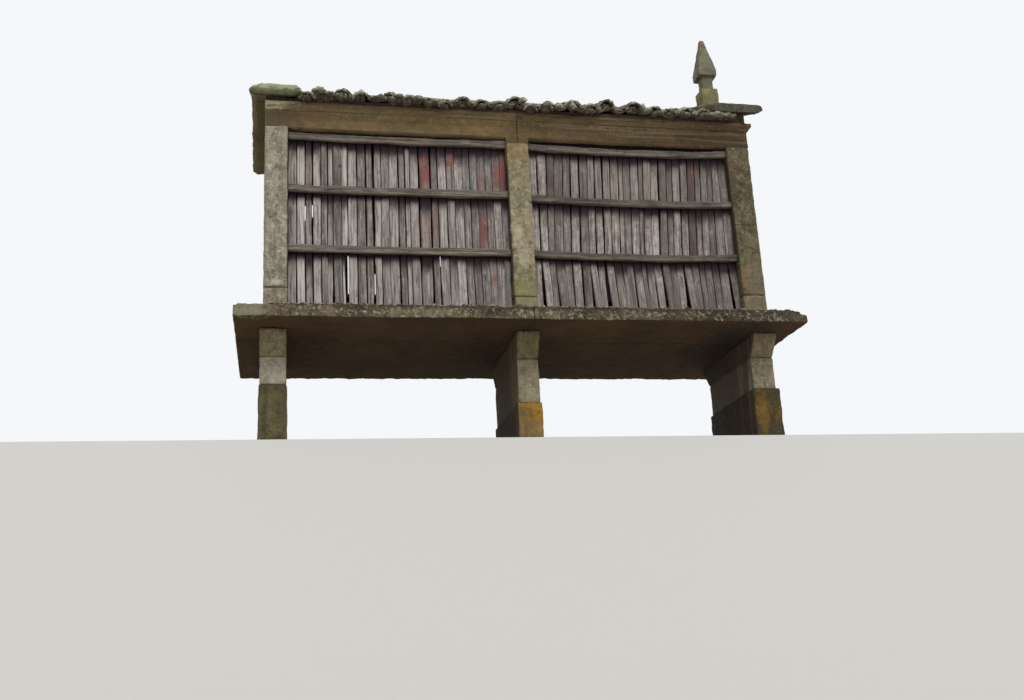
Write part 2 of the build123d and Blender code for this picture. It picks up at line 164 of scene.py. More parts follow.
class Graph:
    """Builds one procedural material, whose colour is laid on coat by coat."""

    def __init__(self, name):
        self.material = bpy.data.materials.new(name)
        self.material.use_nodes = True
        self.tree = self.material.node_tree
        self.tree.nodes.clear()
        self.place = self.node("TexCoord").outputs["Object"]
        self.colour = None

    def node(self, kind, inputs=None, **settings):
        return add_node(self.tree, kind, inputs, **settings)

    def stretched(self, scale, offset=(0, 0, 0), vector=None):
        """Place in the object, or another vector, scaled by axis and shifted."""
        return self.node("VectorMath", {0: vector or self.place, 1: scale, 2: offset},
                         operation="MULTIPLY_ADD").outputs[0]

    def noise(self, scale, detail=4, roughness=0.55, distortion=0, vector=None):
        return self.node("TexNoise", {
            "Vector": vector or self.place, "Scale": scale, "Detail": detail,
            "Roughness": roughness, "Distortion": distortion}).outputs["Fac"]

    def wobble(self, reach, *settings):
        """Noise of either sign."""
        return self.times(self.minus(self.noise(*settings), 0.5), reach)

    def cells(self, scale):
        return self.node("TexVoronoi", {"Vector": self.place, "Scale": scale}).outputs["Distance"]

    def mask(self, value, low, high, out_low=0.0, out_high=1.0):
        """A smooth step from out_low at low to out_high at high."""
        return self.node("MapRange", {
            "Value": value, "From Min": low, "From Max": high,
            "To Min": out_low, "To Max": out_high}, interpolation_type="SMOOTHSTEP").outputs[0]

    def maths(self, operation, a, b):
        return self.node("Math", {0: a, 1: b}, operation=operation).outputs[0]

    def plus(self, a, b):
        return self.maths("ADD", a, b)

    def minus(self, a, b):
        return self.maths("SUBTRACT", a, b)

    def times(self, a, b):
        return self.maths("MULTIPLY", a, b)

    def mix(self, amount, a, b):
        """A blend of two colours, each of them a socket or a tone in 0 to 255."""
        a, b = (value if isinstance(value, bpy.types.NodeSocket) else linear(value) for value in (a, b))
        return self.node("Mix", {"Factor": amount, 6: a, 7: b},
                         data_type="RGBA", clamp_factor=True).outputs[2]

    def cover(self, amount, tone):
        """Lay a tone over the colour so far."""
        self.colour = self.mix(amount, self.colour, tone)

    def lay(self, tone, value, low, high, strength=1.0):
        """Lay a tone over the colour where the value has come from low to high."""
        self.cover(self.mask(value, low, high, 0.0, strength), tone)

    def lay_spots(self, spots):
        """Ragged spots of colour, each given by its centre, its half sizes, its tone and its strength."""
        ragged = self.wobble(5.0, 22, 6, 0.75)
        for centre, halves, tone, strength in spots:
            scale = [1 / half for half in halves]
            offset = [-place / half for place, half in zip(centre, halves)]
            reach = self.node("VectorMath", {0: self.stretched(scale, offset)}, operation="LENGTH")
            self.lay(tone, self.plus(reach.outputs["Value"], ragged), 1.35, 0.4, strength)

    def attribute(self, name):
        return self.node("Attribute", attribute_name=name).outputs["Vector"]

    def parts(self, vector):
        return self.node("SeparateXYZ", {0: vector}).outputs

    def facing(self):
        """Parts of the surface's normal."""
        return self.parts(self.node("NewGeometry").outputs["Normal"])

    def finish(self, roughness, height=None, distance=0.0):
        """Close the material with its roughness and, where a height is given, its relief."""
        inputs = {"Base Color": self.colour, "Roughness": roughness, "Specular IOR Level": 0.25}
        if height:
            bump = self.node("Bump", {"Height": height, "Distance": distance, "Strength": 1.0})
            inputs["Normal"] = bump.outputs["Normal"]
        shader = self.node("BsdfPrincipled", inputs)
        self.node("OutputMaterial", {"Surface": shader.outputs["BSDF"]})


def lay_lichen(g, lichen, amount, crust):
    """Crusts and small specks of lichen; gives back where the crusts are."""
    scale, low, high = crust
    crusts = g.mask(g.noise(scale, 7, 0.8, 0.2), low, high)
    crusts = g.times(crusts, g.mask(g.noise(4, 4), 0.35, 0.6, 0.35, 1.0))
    g.cover(g.times(crusts, amount), lichen)
    specks = g.times(g.mask(g.cells(60), 0.22, 0.1), g.mask(g.noise(7, 4), 0.5, 0.62))
    g.cover(g.times(specks, amount), shade(lichen, 1.18))
    return crusts


def lay_rust(g, tone, low, high):
    """Rusty patches in a band between two heights."""
    height = g.parts(g.place)[2]
    band = g.times(g.mask(height, low - 0.12, low), g.mask(height, high + 0.04, high))
    rings = g.plus(g.noise(5, 3, 0.6), g.times(g.noise(38, 6, 0.75), 0.9))
    hue = g.mix(g.mask(g.noise(21, 4), 0.4, 0.6), tone, shade(tone, 0.72))
    g.cover(g.times(band, g.mask(rings, 0.82, 1.08, 0.0, 0.9)), hue)


def lay_moss(g, moss, light, amount, up):
    """Moss in patches, most of it on ledges."""
    patches = g.plus(g.times(g.mask(g.noise(5, 6, 0.7), 0.3, 0.75), 0.6),
                     g.times(g.mask(g.noise(1.6, 4), 0.35, 0.65), 0.4))
    growth = g.plus(g.mask(up, -0.2, 0.75, 0.0, 0.5), patches)
    hue = g.mix(g.mask(g.noise(3, 4), 0.4, 0.6), moss, shade(light, 0.8))
    g.lay(g.mix(g.noise(40, 4), hue, shade(moss, 0.6)), growth, 1.12 - amount, 1.3 - amount)


def lay_bits(g, height, low_tone):
    """Clods with painted shade low down on each, and bits of tile and lime in them."""
    g.lay(low_tone, g.plus(height, g.wobble(2.5, 24, 5, 0.7)), 0.3, -0.5, 0.9)
    g.lay((122, 84, 68), g.noise(30, 3, 0.6), 0.57, 0.61, 0.7)
    g.lay((188, 184, 164), g.noise(38, 4, 0.7), 0.39, 0.35, 0.8)


def lay_side_shade(g, across, sign, tone):
    """Painted shade on the sides that face inward, paler in streaks toward the front."""
    streaks = g.noise(1, 4, 0.55, 0.2, g.stretched((9, 9, 0.7), (1, 2, 3)))
    streaks = g.times(g.mask(streaks, 0.4, 0.7), g.mask(g.parts(g.place)[1], -0.1, -0.56))
    g.lay(g.mix(streaks, tone, shade(tone, 1.75)), g.times(across, sign), 0.4, 0.8, 0.92)


def stone_material(name, light, dark, lichen, moss, moss_amount, lichen_amount, crust=(30, 0.5, 0.66),
                   mottled=0.5, mottle_scale=42, banded=False, right_end=None, varied=None, rust=None,
                   shaded=None, under=None, spots=()):
    """Granite with mottling, stains and lichen, moss on ledges, painted shade on the sides that face inward,
    and painted shade and light on the undersides, partly damp staining.
    """
    g = Graph(name)
    middle = g.noise(9, 6, 0.65, 0.4)
    grain = g.noise(110, 3, 0.7)
    light_tone, dark_tone = light, dark
    if right_end:
        across = g.mask(g.parts(g.place)[0], -1.2, 2.7)
        light_tone, dark_tone = (g.mix(across, *tones) for tones in zip((light, dark), right_end))
    g.colour = g.mix(g.mask(g.noise(1.7, 5, 0.6), 0.36, 0.66), dark_tone, light_tone)
    g.cover(0.5, g.mix(g.mask(middle, 0.4, 0.62), dark_tone, light_tone))
    if varied:
        look = g.parts(g.attribute("look"))
        g.cover(0.75, g.mix(g.mask(look[0], 0.2, 0.8), shade(dark, 0.8), light_tone))
    if banded:
        g.lay(shade(dark, 0.62), g.noise(1, 4, 0.6, 0.4, g.stretched((0.5, 0.5, 19))), 0.46, 0.7, 0.35)
        g.lay(lichen, g.noise(1, 4, 0.6, 0.3, g.stretched((0.6, 0.6, 15), (3, 5, 7))), 0.54, 0.7, 0.55)
    else:
        g.lay(shade(dark, 0.62), g.noise(1, 5, 0.6, 0.3, g.stretched((14, 14, 1.1))), 0.5, 0.72, 0.5)
    crusts = lay_lichen(g, lichen, lichen_amount, crust)
    mottle = g.noise(mottle_scale, 7, 0.8, 0.2)
    g.lay(shade(light, 1.22), mottle, 0.47, 0.33, mottled)
    g.lay(shade(dark, 0.62), mottle, 0.53, 0.67, mottled)
    pits = g.mask(g.noise(34, 5, 0.7, 0.3), 0.6, 0.7, 0.0, 0.5)
    g.cover(pits, shade(dark, 0.5))
    g.lay(shade(dark, 0.55), grain, 0.35, 0.7, 0.35)
    if rust:
        lay_rust(g, *rust)
    facing = g.facing()
    lay_moss(g, moss, light, moss_amount, facing[2])
    # Painted shade low down on each clod, with bits of tile and lime.
    if varied:
        lay_bits(g, look[1], varied)
    # Painted shade on the sides that face inward.
    if shaded:
        lay_side_shade(g, facing[0], *shaded)
    # Undersides in a tone of their own: painted shade on the verges and on the soffit of the slabs, where it
    # is partly damp staining, and painted light that softens the shadows under the lintel's mouldings.
    if under:
        painted_shading = g.mix(g.mask(g.noise(1.6, 5), 0.38, 0.62), under, shade(under, 0.82))
        g.lay(painted_shading, facing[2], -0.35, -0.75)
    g.lay_spots(spots)
    height = g.plus(g.plus(g.times(grain, 0.5), g.times(middle, 1.2)), g.times(crusts, 0.25))
    height = g.minus(height, g.plus(g.times(pits, 0.8), g.times(mottle, 0.9)))
    g.finish(0.88, height, 0.009)


def board_material(name, pale, dark, red, spots=()):
    """Weathered wood with upright grain, cracks and remains of red paint, varied from board to board, with
    painted shade under the rails.
    """
    g = Graph(name)
    tint, paint, shadow = g.parts(g.attribute("look"))[:3]
    grain = g.attribute("grain")
    fibres = g.noise(1.0, 6, 0.7, 0.25, grain)
    fine = g.noise(1.0, 5, 0.75, 0.0, g.stretched((3.1, 3.1, 1.7), vector=grain))
    broad = g.noise(1.0, 3, 0.5, 0.0, g.stretched((0.22, 0.22, 0.5), vector=grain))
    blotch = g.noise(1.0, 5, 0.7, 0.4, g.stretched((0.3, 0.3, 2.6), vector=grain))
    dark_tone = g.mix(tint, shade(dark, 0.72), shade(dark, 1.18))
    g.colour = g.mix(g.mask(fibres, 0.34, 0.6), dark_tone, g.mix(tint, shade(pale, 0.7), shade(pale, 1.07)))
    g.lay(dark_tone, broad, 0.5, 0.68, 0.5)
    g.lay(shade(dark, 0.5), fine, 0.55, 0.72, 0.6)
    g.lay(shade(pale, 1.2), fine, 0.42, 0.3, 0.35)
    g.lay(shade(dark, 0.85), blotch, 0.53, 0.68, 0.7)
    g.lay(shade(pale, 1.12), blotch, 0.47, 0.32, 0.35)
    streaky = g.plus(g.times(fibres, 0.9), g.times(g.noise(3.4, 5, 0.65), 0.9))
    worn_red = g.mix(g.mask(fine, 0.38, 0.6), shade(red, 1.15), shade(red, 0.62))
    plum = g.maths("MAXIMUM", g.times(paint, -1.0), 0.0)
    for coat, tone, strength in ((paint, worn_red, 0.9), (plum, (70, 54, 58), 0.85)):
        kept = g.mask(g.plus(streaky, g.times(coat, 0.75)), 1.3, 1.62, 0.0, strength)
        g.cover(g.times(kept, g.mask(coat, 0.0, 0.1)), tone)
    g.lay((124, 124, 108), g.noise(4, 5, 0.6), 0.6, 0.75, 0.25)
    g.lay_spots(spots)
    # Painted shade under the rails and the lintel, dark seams, and dirt and painted shade at the feet,
    # ragged along the grain
    ragged = g.plus(shadow, g.times(g.minus(streaky, 0.9), g.mask(shadow, 0.0, 0.3)))
    g.lay([part * factor for part, factor in zip(dark, (0.46, 0.38, 0.46))], ragged, 0.1, 0.85)
    g.finish(0.9, g.plus(fibres, g.times(fine, 0.5)), 0.004)


def tile_material(name):
    """Fired clay nearly covered by moss and lichen, with painted shade down the sides of the covers and in
    the hollows of the pans, and a tone of its own below.
    """
    g = Graph(name)
    look = g.parts(g.attribute("look"))
    up = g.facing()[2]
    clay = g.mix(g.mask(g.noise(12, 5), 0.35, 0.65), (134, 94, 72), (98, 76, 60))
    soot = g.mix(g.mask(g.noise(20, 6, 0.7), 0.35, 0.6), clay, (70, 64, 52))
    g.colour = g.mix(g.mask(look[0], 0.1, 0.9, 0.2, 0.95), clay, soot)
    moss = g.mix(g.mask(g.noise(30, 5, 0.7), 0.35, 0.62), (84, 85, 62), (140, 137, 108))
    growth = g.plus(g.mask(g.noise(8, 6, 0.7, 0.5), 0.3, 0.65), g.mask(up, 0.0, 0.9, 0.0, 0.45))
    growth = g.plus(growth, g.mask(g.noise(1.3, 4), 0.35, 0.65, -0.25, 0.2))
    g.lay(moss, growth, 0.5, 0.85)
    crust = g.mask(g.noise(38, 8, 0.8, 0.2), 0.49, 0.66)
    g.cover(g.times(crust, g.mask(up, -0.3, 0.5, 0.2, 0.8)), (162, 160, 138))
    g.lay((48, 44, 34), g.noise(48, 6, 0.8), 0.54, 0.68, 0.6)
    # Painted shade down the sides of the covers and in the hollows of the pans; on the ridge tiles, a tone
    # drawn at random
    g.lay((84, 74, 66), g.plus(look[1], g.wobble(1.4, 26, 5, 0.7)), 0.45, -0.15, 0.8)
    g.lay((102, 86, 80), up, 0.0, -0.5, 0.85)
    g.finish(0.92, g.plus(g.noise(60, 5, 0.7), g.times(crust, 0.6)), 0.006)


def stage_material(name, shown, bounced):
    """Plain matt colour that the camera sees, and a darker one for the light it throws back."""
    g = Graph(name)
    g.colour = g.mix(g.node("LightPath").outputs["Is Camera Ray"], bounced, shown)
    g.finish(1.0)


# Posts, their bases and the gables
granite = {"lichen": (182, 178, 160), "moss": (112, 114, 76), "mottled": 0.9, "mottle_scale": 17,
           "crust": (15, 0.51, 0.6)}
stone_material(
    "left_post_granite", (170, 163, 146), (122, 116, 100), moss_amount=0.12, lichen_amount=0.7,
    shaded=(1, (60, 54, 46)), **granite, spots=(
        ((-2.38, -0.75, 1.47), (0.06, 0.1, 0.035), (186, 180, 160), 0.65),
        ((-2.5, -0.75, 2.3), (0.03, 0.2, 0.9), (112, 120, 84), 0.6)))
stone_material(
    "middle_post_granite", (152, 142, 116), (112, 103, 78), moss_amount=0.18, lichen_amount=0.6,
    shaded=(-1, (60, 54, 46)), **granite, spots=(
        ((-0.01, -0.75, 2.95), (0.2, 0.3, 0.16), (140, 114, 78), 0.55),
        ((-0.05, -0.75, 2.05), (0.06, 0.1, 0.15), (180, 172, 148), 0.5),
        ((0.02, -0.75, 1.76), (0.065, 0.1, 0.12), (176, 168, 144), 0.5),
        ((0.0, -0.75, 1.42), (0.14, 0.3, 0.16), (124, 122, 78), 0.6)))
stone_material(
    "right_post_granite", (108, 98, 72), (69, 62, 44), moss_amount=0.25, lichen_amount=0.3,
    shaded=(-1, (64, 54, 43)), **granite, spots=(
        ((2.39, -0.75, 1.6), (0.13, 0.1, 0.4), (120, 111, 88), 0.55),
        ((2.285, -0.75, 1.63), (0.06, 0.1, 0.12), (128, 98, 74), 0.5),
        ((2.5, -0.75, 2.0), (0.025, 0.1, 1.0), (100, 106, 72), 0.5),
        ((2.38, -0.75, 2.195), (0.3, 0.4, 0.007), (54, 48, 36), 0.85)))
stone_material(
    "post_base_granite", (158, 150, 128), (104, 97, 78), moss_amount=0.3, lichen_amount=0.55,
    **granite, spots=(
        ((0.0, -0.75, 1.24), (0.4, 0.5, 0.3), (128, 118, 86), 0.7),
        ((2.38, -0.75, 1.24), (0.4, 0.5, 0.3), (102, 91, 70), 0.8)))
stone_material("gable_granite", (122, 114, 92), (84, 78, 60), moss_amount=0.25, lichen_amount=0.35,
               **granite)

# Lintels, platform, verges, pinnacle and mortar
stone_material(
    "lintel_granite", (136, 115, 79), (104, 88, 60), (140, 126, 96), (100, 96, 60), 0.05, 0.18,
    under=(160, 140, 108), right_end=((58, 44, 30), (44, 34, 26)), banded=True, mottled=0.25, spots=(
        # Painted light along the cornice in the shade of the eave, and a darker band that tones it down to
        # the right
        ((-12.0, 0.0, 3.31), (20, 20, 0.075), (160, 145, 112), 0.7),
        ((12.0, 0.0, 3.31), (16, 16, 0.07), (88, 75, 57), 0.6),
        ((0.006, -0.75, 3.22), (0.007, 0.3, 0.14), (44, 35, 26), 0.9),
        ((-2.35, -0.75, 3.17), (0.24, 0.1, 0.12), (84, 75, 60), 0.85),
        # Painted highlights on the two lit fillets at the left end
        ((-2.43, -0.79, 3.33), (0.22, 0.1, 0.034), (232, 224, 200), 0.95),
        ((-2.46, -0.77, 3.28), (0.16, 0.1, 0.014), (196, 186, 156), 0.8),
        ((-2.05, -0.75, 3.225), (0.14, 0.1, 0.05), (118, 88, 72), 0.5),
        ((2.25, -0.75, 3.19), (0.6, 0.1, 0.14), (78, 62, 44), 0.5),
        ((1.64, -0.75, 3.18), (0.06, 0.1, 0.05), (118, 84, 52), 0.4),
        ((1.5, -0.75, 3.12), (0.2, 0.1, 0.03), (92, 66, 48), 0.6)))
stone_material(
    "slab_granite", (122, 111, 90), (58, 49, 38), (182, 174, 150), (90, 88, 58), 0.2, 0.8,
    (24, 0.52, 0.58), 1.0, 17, right_end=((68, 57, 45), (34, 28, 22)), under=(84, 64, 44), spots=(
        ((0.3, -1.06, 1.152), (2.75, 0.12, 0.03), (54, 45, 38), 0.8),
        ((0.3, 1.06, 1.152), (2.75, 0.12, 0.03), (54, 45, 38), 0.8),
        ((-2.6, -1.06, 1.1), (0.16, 0.1, 0.1), (128, 128, 104), 0.7),
        ((2.75, -1.06, 1.12), (0.4, 0.14, 0.1), (72, 64, 52), 0.6),
        # Painted shade, deeper toward the back of the soffit
        ((0.0, 0.85, 1.03), (3.4, 1.0, 0.08), (58, 44, 31), 0.6),
        # Painted shadow on the soffit beside the right pier
        ((2.15, -0.45, 1.02), (0.26, 0.75, 0.05), (44, 43, 41), 0.8)))
stone_material(
    "platform_grit", (160, 150, 126), (50, 42, 35), (180, 172, 150), (88, 84, 52), 0.2, 0.5,
    right_end=((134, 122, 106), (40, 33, 28)), varied=(44, 37, 31))
stone_material(
    "verge_granite", (122, 124, 90), (84, 86, 60), (164, 166, 136), (110, 114, 80), 0.25, 0.6,
    under=(120, 110, 86), mottled=0.75, mottle_scale=22, spots=(
        # A pale strip along the top, partly lichen and partly painted light from the sky, and a strip of
        # painted shade below it
        ((-2.5, -0.97, 3.447), (1, 0.4, 0.036), (176, 182, 150), 0.54),
        ((-2.5, -0.97, 3.357), (1, 0.4, 0.04), (70, 69, 50), 0.8)))
stone_material(
    "right_verge_granite", (100, 94, 76), (66, 62, 50), (136, 134, 110), (104, 104, 80), 0.25, 0.6,
    under=(84, 74, 60), mottled=0.75, mottle_scale=22)
stone_material(
    "pinnacle_granite", (133, 130, 107), (100, 95, 80), (150, 150, 122), (114, 116, 70), 0.3, 0.5,
    spots=(((2.425, 0.0, 4.72), (0.05, 0.1, 0.03), (112, 84, 60), 0.7),))
stone_material(
    "pinnacle_base_granite", (146, 141, 98), (108, 103, 70), (158, 156, 116), (126, 128, 64), 0.4, 0.5)
stone_material(
    "eave_mortar", (170, 172, 146), (102, 102, 80), (208, 208, 186), (112, 118, 84), 0.4, 0.5,
    (44, 0.5, 0.62), 0.8, 30, varied=(90, 78, 72),
    # A pale band along the top of the eave bedding, partly lichen and partly painted light from the sky
    spots=(((0.45, -0.9, 3.44), (1.6, 0.3, 0.08), (184, 188, 168), 0.6),))

# Piers: shafts, caps and bases, each with painted shade on the side that faces the middle
painted_shading = (80, 70, 55)
for place, light, dark, shaded in (
        ("left", (190, 184, 170), (146, 139, 122), (1, painted_shading)),
        ("middle", (162, 153, 128), (120, 112, 91), (-1, painted_shading)),
        ("right", (160, 152, 128), (114, 107, 87), (-1, (94, 86, 74)))):
    stone_material(f"{place}_shaft_granite", light, dark, (180, 175, 155), (116, 112, 76), 0.05, 0.6,
                   mottled=0.7, mottle_scale=26, shaded=shaded)
for place, light, dark, shaded in (
        ("left", (176, 167, 136), (122, 113, 88), (1, painted_shading)),
        ("middle", (152, 140, 110), (102, 93, 70), (-1, painted_shading)),
        ("right", (170, 157, 130), (114, 104, 86), (-1, (66, 58, 51)))):
    stone_material(f"{place}_cap_granite", light, dark, (146, 142, 116), (102, 102, 68), 0.1, 0.35,
                   shaded=shaded)
stone_material(
    "left_base_granite", (104, 97, 70), (62, 56, 36), (136, 130, 102), (90, 92, 50), 0.25, 0.4,
    shaded=(1, painted_shading))
stone_material(
    "middle_base_granite", (148, 124, 76), (108, 91, 56), (146, 134, 104), (112, 102, 56), 0.1, 0.35,
    rust=((170, 122, 22), 0.24, 0.36), shaded=(-1, (54, 42, 40)))
stone_material(
    "right_base_granite", (80, 72, 47), (53, 47, 34), (132, 118, 86), (94, 92, 50), 0.15, 0.35,
    rust=((112, 86, 42), 0.2, 0.34), shaded=(-1, (64, 54, 46)),
    spots=(((2.385, -0.6, 0.24), (0.055, 0.1, 0.3), (138, 104, 40), 0.35),))

# Boards, rails, door, roof boards, tiles and the stage's ground
board_material("weathered_boards", (174, 167, 162), (86, 78, 75), (136, 74, 70), (
    ((-0.93, -0.7, 2.745), (0.014, 0.1, 0.03), (52, 32, 34), 0.85),
    ((-1.78, -0.7, 2.73), (0.01, 0.1, 0.018), (36, 30, 30), 0.9),
    ((-0.93, -0.7, 2.13), (0.1, 0.1, 0.3), (132, 104, 100), 0.5),
    ((-0.945, -0.7, 1.75), (0.05, 0.1, 0.12), (98, 66, 66), 0.5),
    ((1.25, -0.7, 2.75), (1.5, 0.3, 0.8), (88, 78, 72), 0.48),
    ((1.25, -0.7, 1.4), (1.5, 0.3, 0.35), (88, 78, 70), 0.46),
    ((1.9, -0.7, 2.84), (0.03, 0.1, 0.12), (146, 104, 72), 0.55)))
board_material("weathered_rails", (130, 122, 112), (66, 59, 53), (104, 74, 64), (
    ((-1.094, -0.72, 3.014), (0.05, 0.1, 0.014), (60, 52, 46), 0.8),))
board_material("weathered_door", (146, 138, 132), (82, 72, 66), (110, 70, 64))
board_material("dark_boards", (98, 84, 80), (64, 54, 54), (84, 60, 56))
tile_material("mossy_tiles")
stage_material("pale_ground", (200, 200, 198), (168, 160, 148))


def place_object(name, data):
    made = bpy.data.objects.new(name, data)
    scene.collection.objects.link(made)
    return made


def mesh_piece(name, mesh, material, replaced=()):
    """Make a finished piece of the object from a mesh."""
    piece = place_object(name, mesh)
    mesh.materials.clear()
    mesh.materials.append(bpy.data.materials[material])
    mesh.polygons.foreach_set("use_smooth", [True] * len(mesh.polygons))
    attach(piece, "root")
    if replaced:
        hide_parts(*replaced)


def vectors_of(mesh, label):
    """The places or the normals of a mesh's points."""
    values = np.empty(len(mesh.vertices) * 3)
    mesh.vertices.foreach_get(label, values)
    return values.reshape(-1, 3)


def set_points(mesh, points):
    """Put the points back, none outside the part's own box."""
    inside = np.clip(points, np.array(cad_low) + 0.0002, np.array(cad_high) - 0.0002)
    mesh.vertices.foreach_set("co", inside.astype(np.float32).ravel())
    mesh.update()


def set_looks(mesh, looks, grains):
    """Give the points their looks, or all of them one look, and their places in the grain."""
    for label, values in (("look", looks), ("grain", grains)):
        values = np.broadcast_to(np.array(values, np.float32), (len(mesh.vertices), 3))
        mesh.attributes.new(label, "FLOAT_VECTOR", "POINT").data.foreach_set("vector", values.ravel())


def welded(node):
    """The node's solids as closed skins."""
    body = bmesh.new()
    body.from_mesh(nodes[node].data)
    bmesh.ops.remove_doubles(body, verts=body.verts, dist=0.00005)
    return body


def mesh_of(body, name):
    mesh = bpy.data.meshes.new(name)
    body.to_mesh(mesh)
    body.free()
    return mesh


def remeshed(node, cell, smooth_steps):
    """An even skin over the node's solids, of the given cell size, with its edges worn round."""
    carrier = place_object("carrier", mesh_of(welded(node), node))
    grid = carrier.modifiers.new("grid", "REMESH")
    grid.mode = "VOXEL"
    grid.voxel_size = cell
    worn = carrier.modifiers.new("worn", "SMOOTH")
    worn.factor = 0.5
    worn.iterations = smooth_steps
    graph = bpy.context.evaluated_depsgraph_get()
    made = bpy.data.meshes.new_from_object(carrier.evaluated_get(graph))
    bpy.data.objects.remove(carrier)
    return made


def roughen(mesh, depth, scale, seed, stretch=(1, 1, 1), octaves=4):
    """Move the skin unevenly by up to depth in all, half of it inward."""
    points = vectors_of(mesh, "co")
    offset = Vector((seed * 7.31, seed * 3.17, seed * 5.93))
    depths = np.empty(len(points))
    for number, point in enumerate(points * stretch):
        depths[number] = noise.fractal(Vector(point) * scale + offset, 0.9, 2.1, octaves)
    depths = (np.clip(0.5 + 0.5 * depths, 0, 1) - 0.5) * depth
    set_points(mesh, points - vectors_of(mesh, "normal") * depths[:, None])


def seed_of(node):
    """A seed from the node's own name."""
    return len(node) + sum(map(ord, node)) % 97


def weathered(node, material, cell, depth, scale):
    """The node's own stone with worn edges and an uneven face."""
    mesh = remeshed(node, cell, 2)
    roughen(mesh, depth, scale, seed_of(node))
    mesh_piece(node + "_stone", mesh, material, [node])


def cut_across(body, node, axis, step):
    """Cut the faces at even steps along an axis."""
    low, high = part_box(node)
    count = max(1, round((high[axis] - low[axis]) / step))
    facing = Vector([float(axis == number) for number in range(3)])
    for number in range(1, count):
        place = low.copy()
        place[axis] += (high[axis] - low[axis]) * number / count
        bmesh.ops.bisect_plane(body, geom=body.verts[:] + body.edges[:] + body.faces[:], dist=0.0005,
                               plane_co=place, plane_no=facing)


def dressed(node, material, spacing, bevel, depth, scale, stretch=(1, 1, 1)):
    """The node's own stone with its mouldings kept, its edges blunted and its faces uneven."""
    body = welded(node)
    bmesh.ops.dissolve_limit(body, angle_limit=radians(1), verts=body.verts, edges=body.edges)
    corners = [edge for edge in body.edges if edge.is_manifold and edge.calc_face_angle() > radians(20)]
    bmesh.ops.bevel(body, geom=corners, offset=bevel, offset_type="OFFSET", segments=2, profile=0.5,
                    affect="EDGES", clamp_overlap=True)
    for axis, step in enumerate(spacing):
        cut_across(body, node, axis, step)
    bmesh.ops.triangulate(body, faces=[face for face in body.faces if len(face.verts) > 4])
    mesh = mesh_of(body, node + "_stone")
    seed = seed_of(node)
    roughen(mesh, depth, scale, seed, stretch)
    roughen(mesh, depth * 0.8, scale * 3.5, seed + 5, stretch)
    mesh_piece(node + "_stone", mesh, material, [node])
    mesh.set_sharp_from_angle(angle=radians(50))


def add_stones():
    """Every stone of the piers, the platform, the frame and the gables."""
    fine, step = ((0.013, 0.025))
    for place in ("left", "middle", "right"):
        for part, depth, scale in (("base", 0.018, 7), ("shaft", 0.01, 9), ("cap", 0.012, 8)):
            weathered(f"{place}_pier_{part}", f"{place}_{part}_granite", fine, depth, scale)
        for row in ("front", "back"):
            weathered(f"{row}_{place}_post", f"{place}_post_granite", fine, 0.01, 10)
    for row in ("front", "back"):
        weathered(f"{row}_post_bases", "post_base_granite", fine, 0.01, 10)
        for side in ("left", "right"):
            dressed(f"{row}_{side}_lintel", "lintel_granite", (step * 1.5, 0.08, step),
                    0.005, 0.006, 5, (0.4, 1, 1))
            dressed(f"{row}_{side}_slab", "slab_granite", (step, step * 2, step),
                    0.01, 0.014, 7)
    for side in ("left", "right"):
        dressed(f"{side}_end_lintel", "lintel_granite", (0.08, step * 1.5, step),
                0.005, 0.006, 5, (1, 0.4, 1))
        weathered(f"{side}_gable", "gable_granite", fine, 0.012, 8)
    for side, material in (("left", "verge_granite"), ("right", "right_verge_granite")):
        dressed(f"{side}_verge_slabs", material, (step, step, step), 0.012, 0.016, 8)
    weathered("pinnacle_base", "pinnacle_base_granite", 0.01, 0.014, 9)
    weathered("pinnacle", "pinnacle_granite", 0.008, 0.01, 12)


def islands(node):
    """Boxes of the node's separate solids, as (low, high) corners."""
    body = welded(node)
    seen = set()
    boxes = []
    for vert in body.verts:
        if vert in seen:
            continue
        group = [vert]
        seen.add(vert)
        for member in group:
            for edge in member.link_edges:
                other = edge.other_vert(member)
                if other not in seen:
                    seen.add(other)
                    group.append(other)
        points = np.array([member.co for member in group])
        boxes.append((points.min(0), points.max(0)))
    body.free()
    return boxes


class Skin:
    """Collects the faces and the looks of a piece made of many like solids."""

    def __init__(self):
        self.points = []
        self.faces = []
        self.looks = []
        self.grains = []

    def add(self, points, faces, looks, grains=None, flipped=False):
        """Add a solid, whose grain is given by its own points unless told otherwise."""
        start = len(self.points)
        way = -1 if flipped else 1
        self.points += points
        self.faces += [tuple(start + number for number in face)[::way] for face in faces]
        self.looks += looks
        self.grains += grains or points

    def piece(self, name, slot, material, replaced=()):
        mesh = bpy.data.meshes.new(name)
        mesh.from_pydata(self.points, [], self.faces)
        set_looks(mesh, self.looks, self.grains)
        mesh.update()
        mesh_piece(name, mesh, material, replaced)


def wave(x, y, z):
    """Smooth noise from -1 to 1."""
    return noise.noise(Vector((x, y, z)))


def folds(x, y, z):
    """Finer, folded noise about 0."""
    return noise.fractal(Vector((x, y, z)), 0.9, 2, 3)


def tube_faces(rings, size):
    """Faces of a closed tube of rings, with both ends capped."""
    faces = []
    for ring in range(rings - 1):
        for number in range(size):
            a = ring * size + number
            b = ring * size + (number + 1) % size
            faces.append((a, b, b + size, a + size))
    faces.append(tuple(reversed(range(size))))
    faces.append(tuple(range((rings - 1) * size, rings * size)))
    return faces


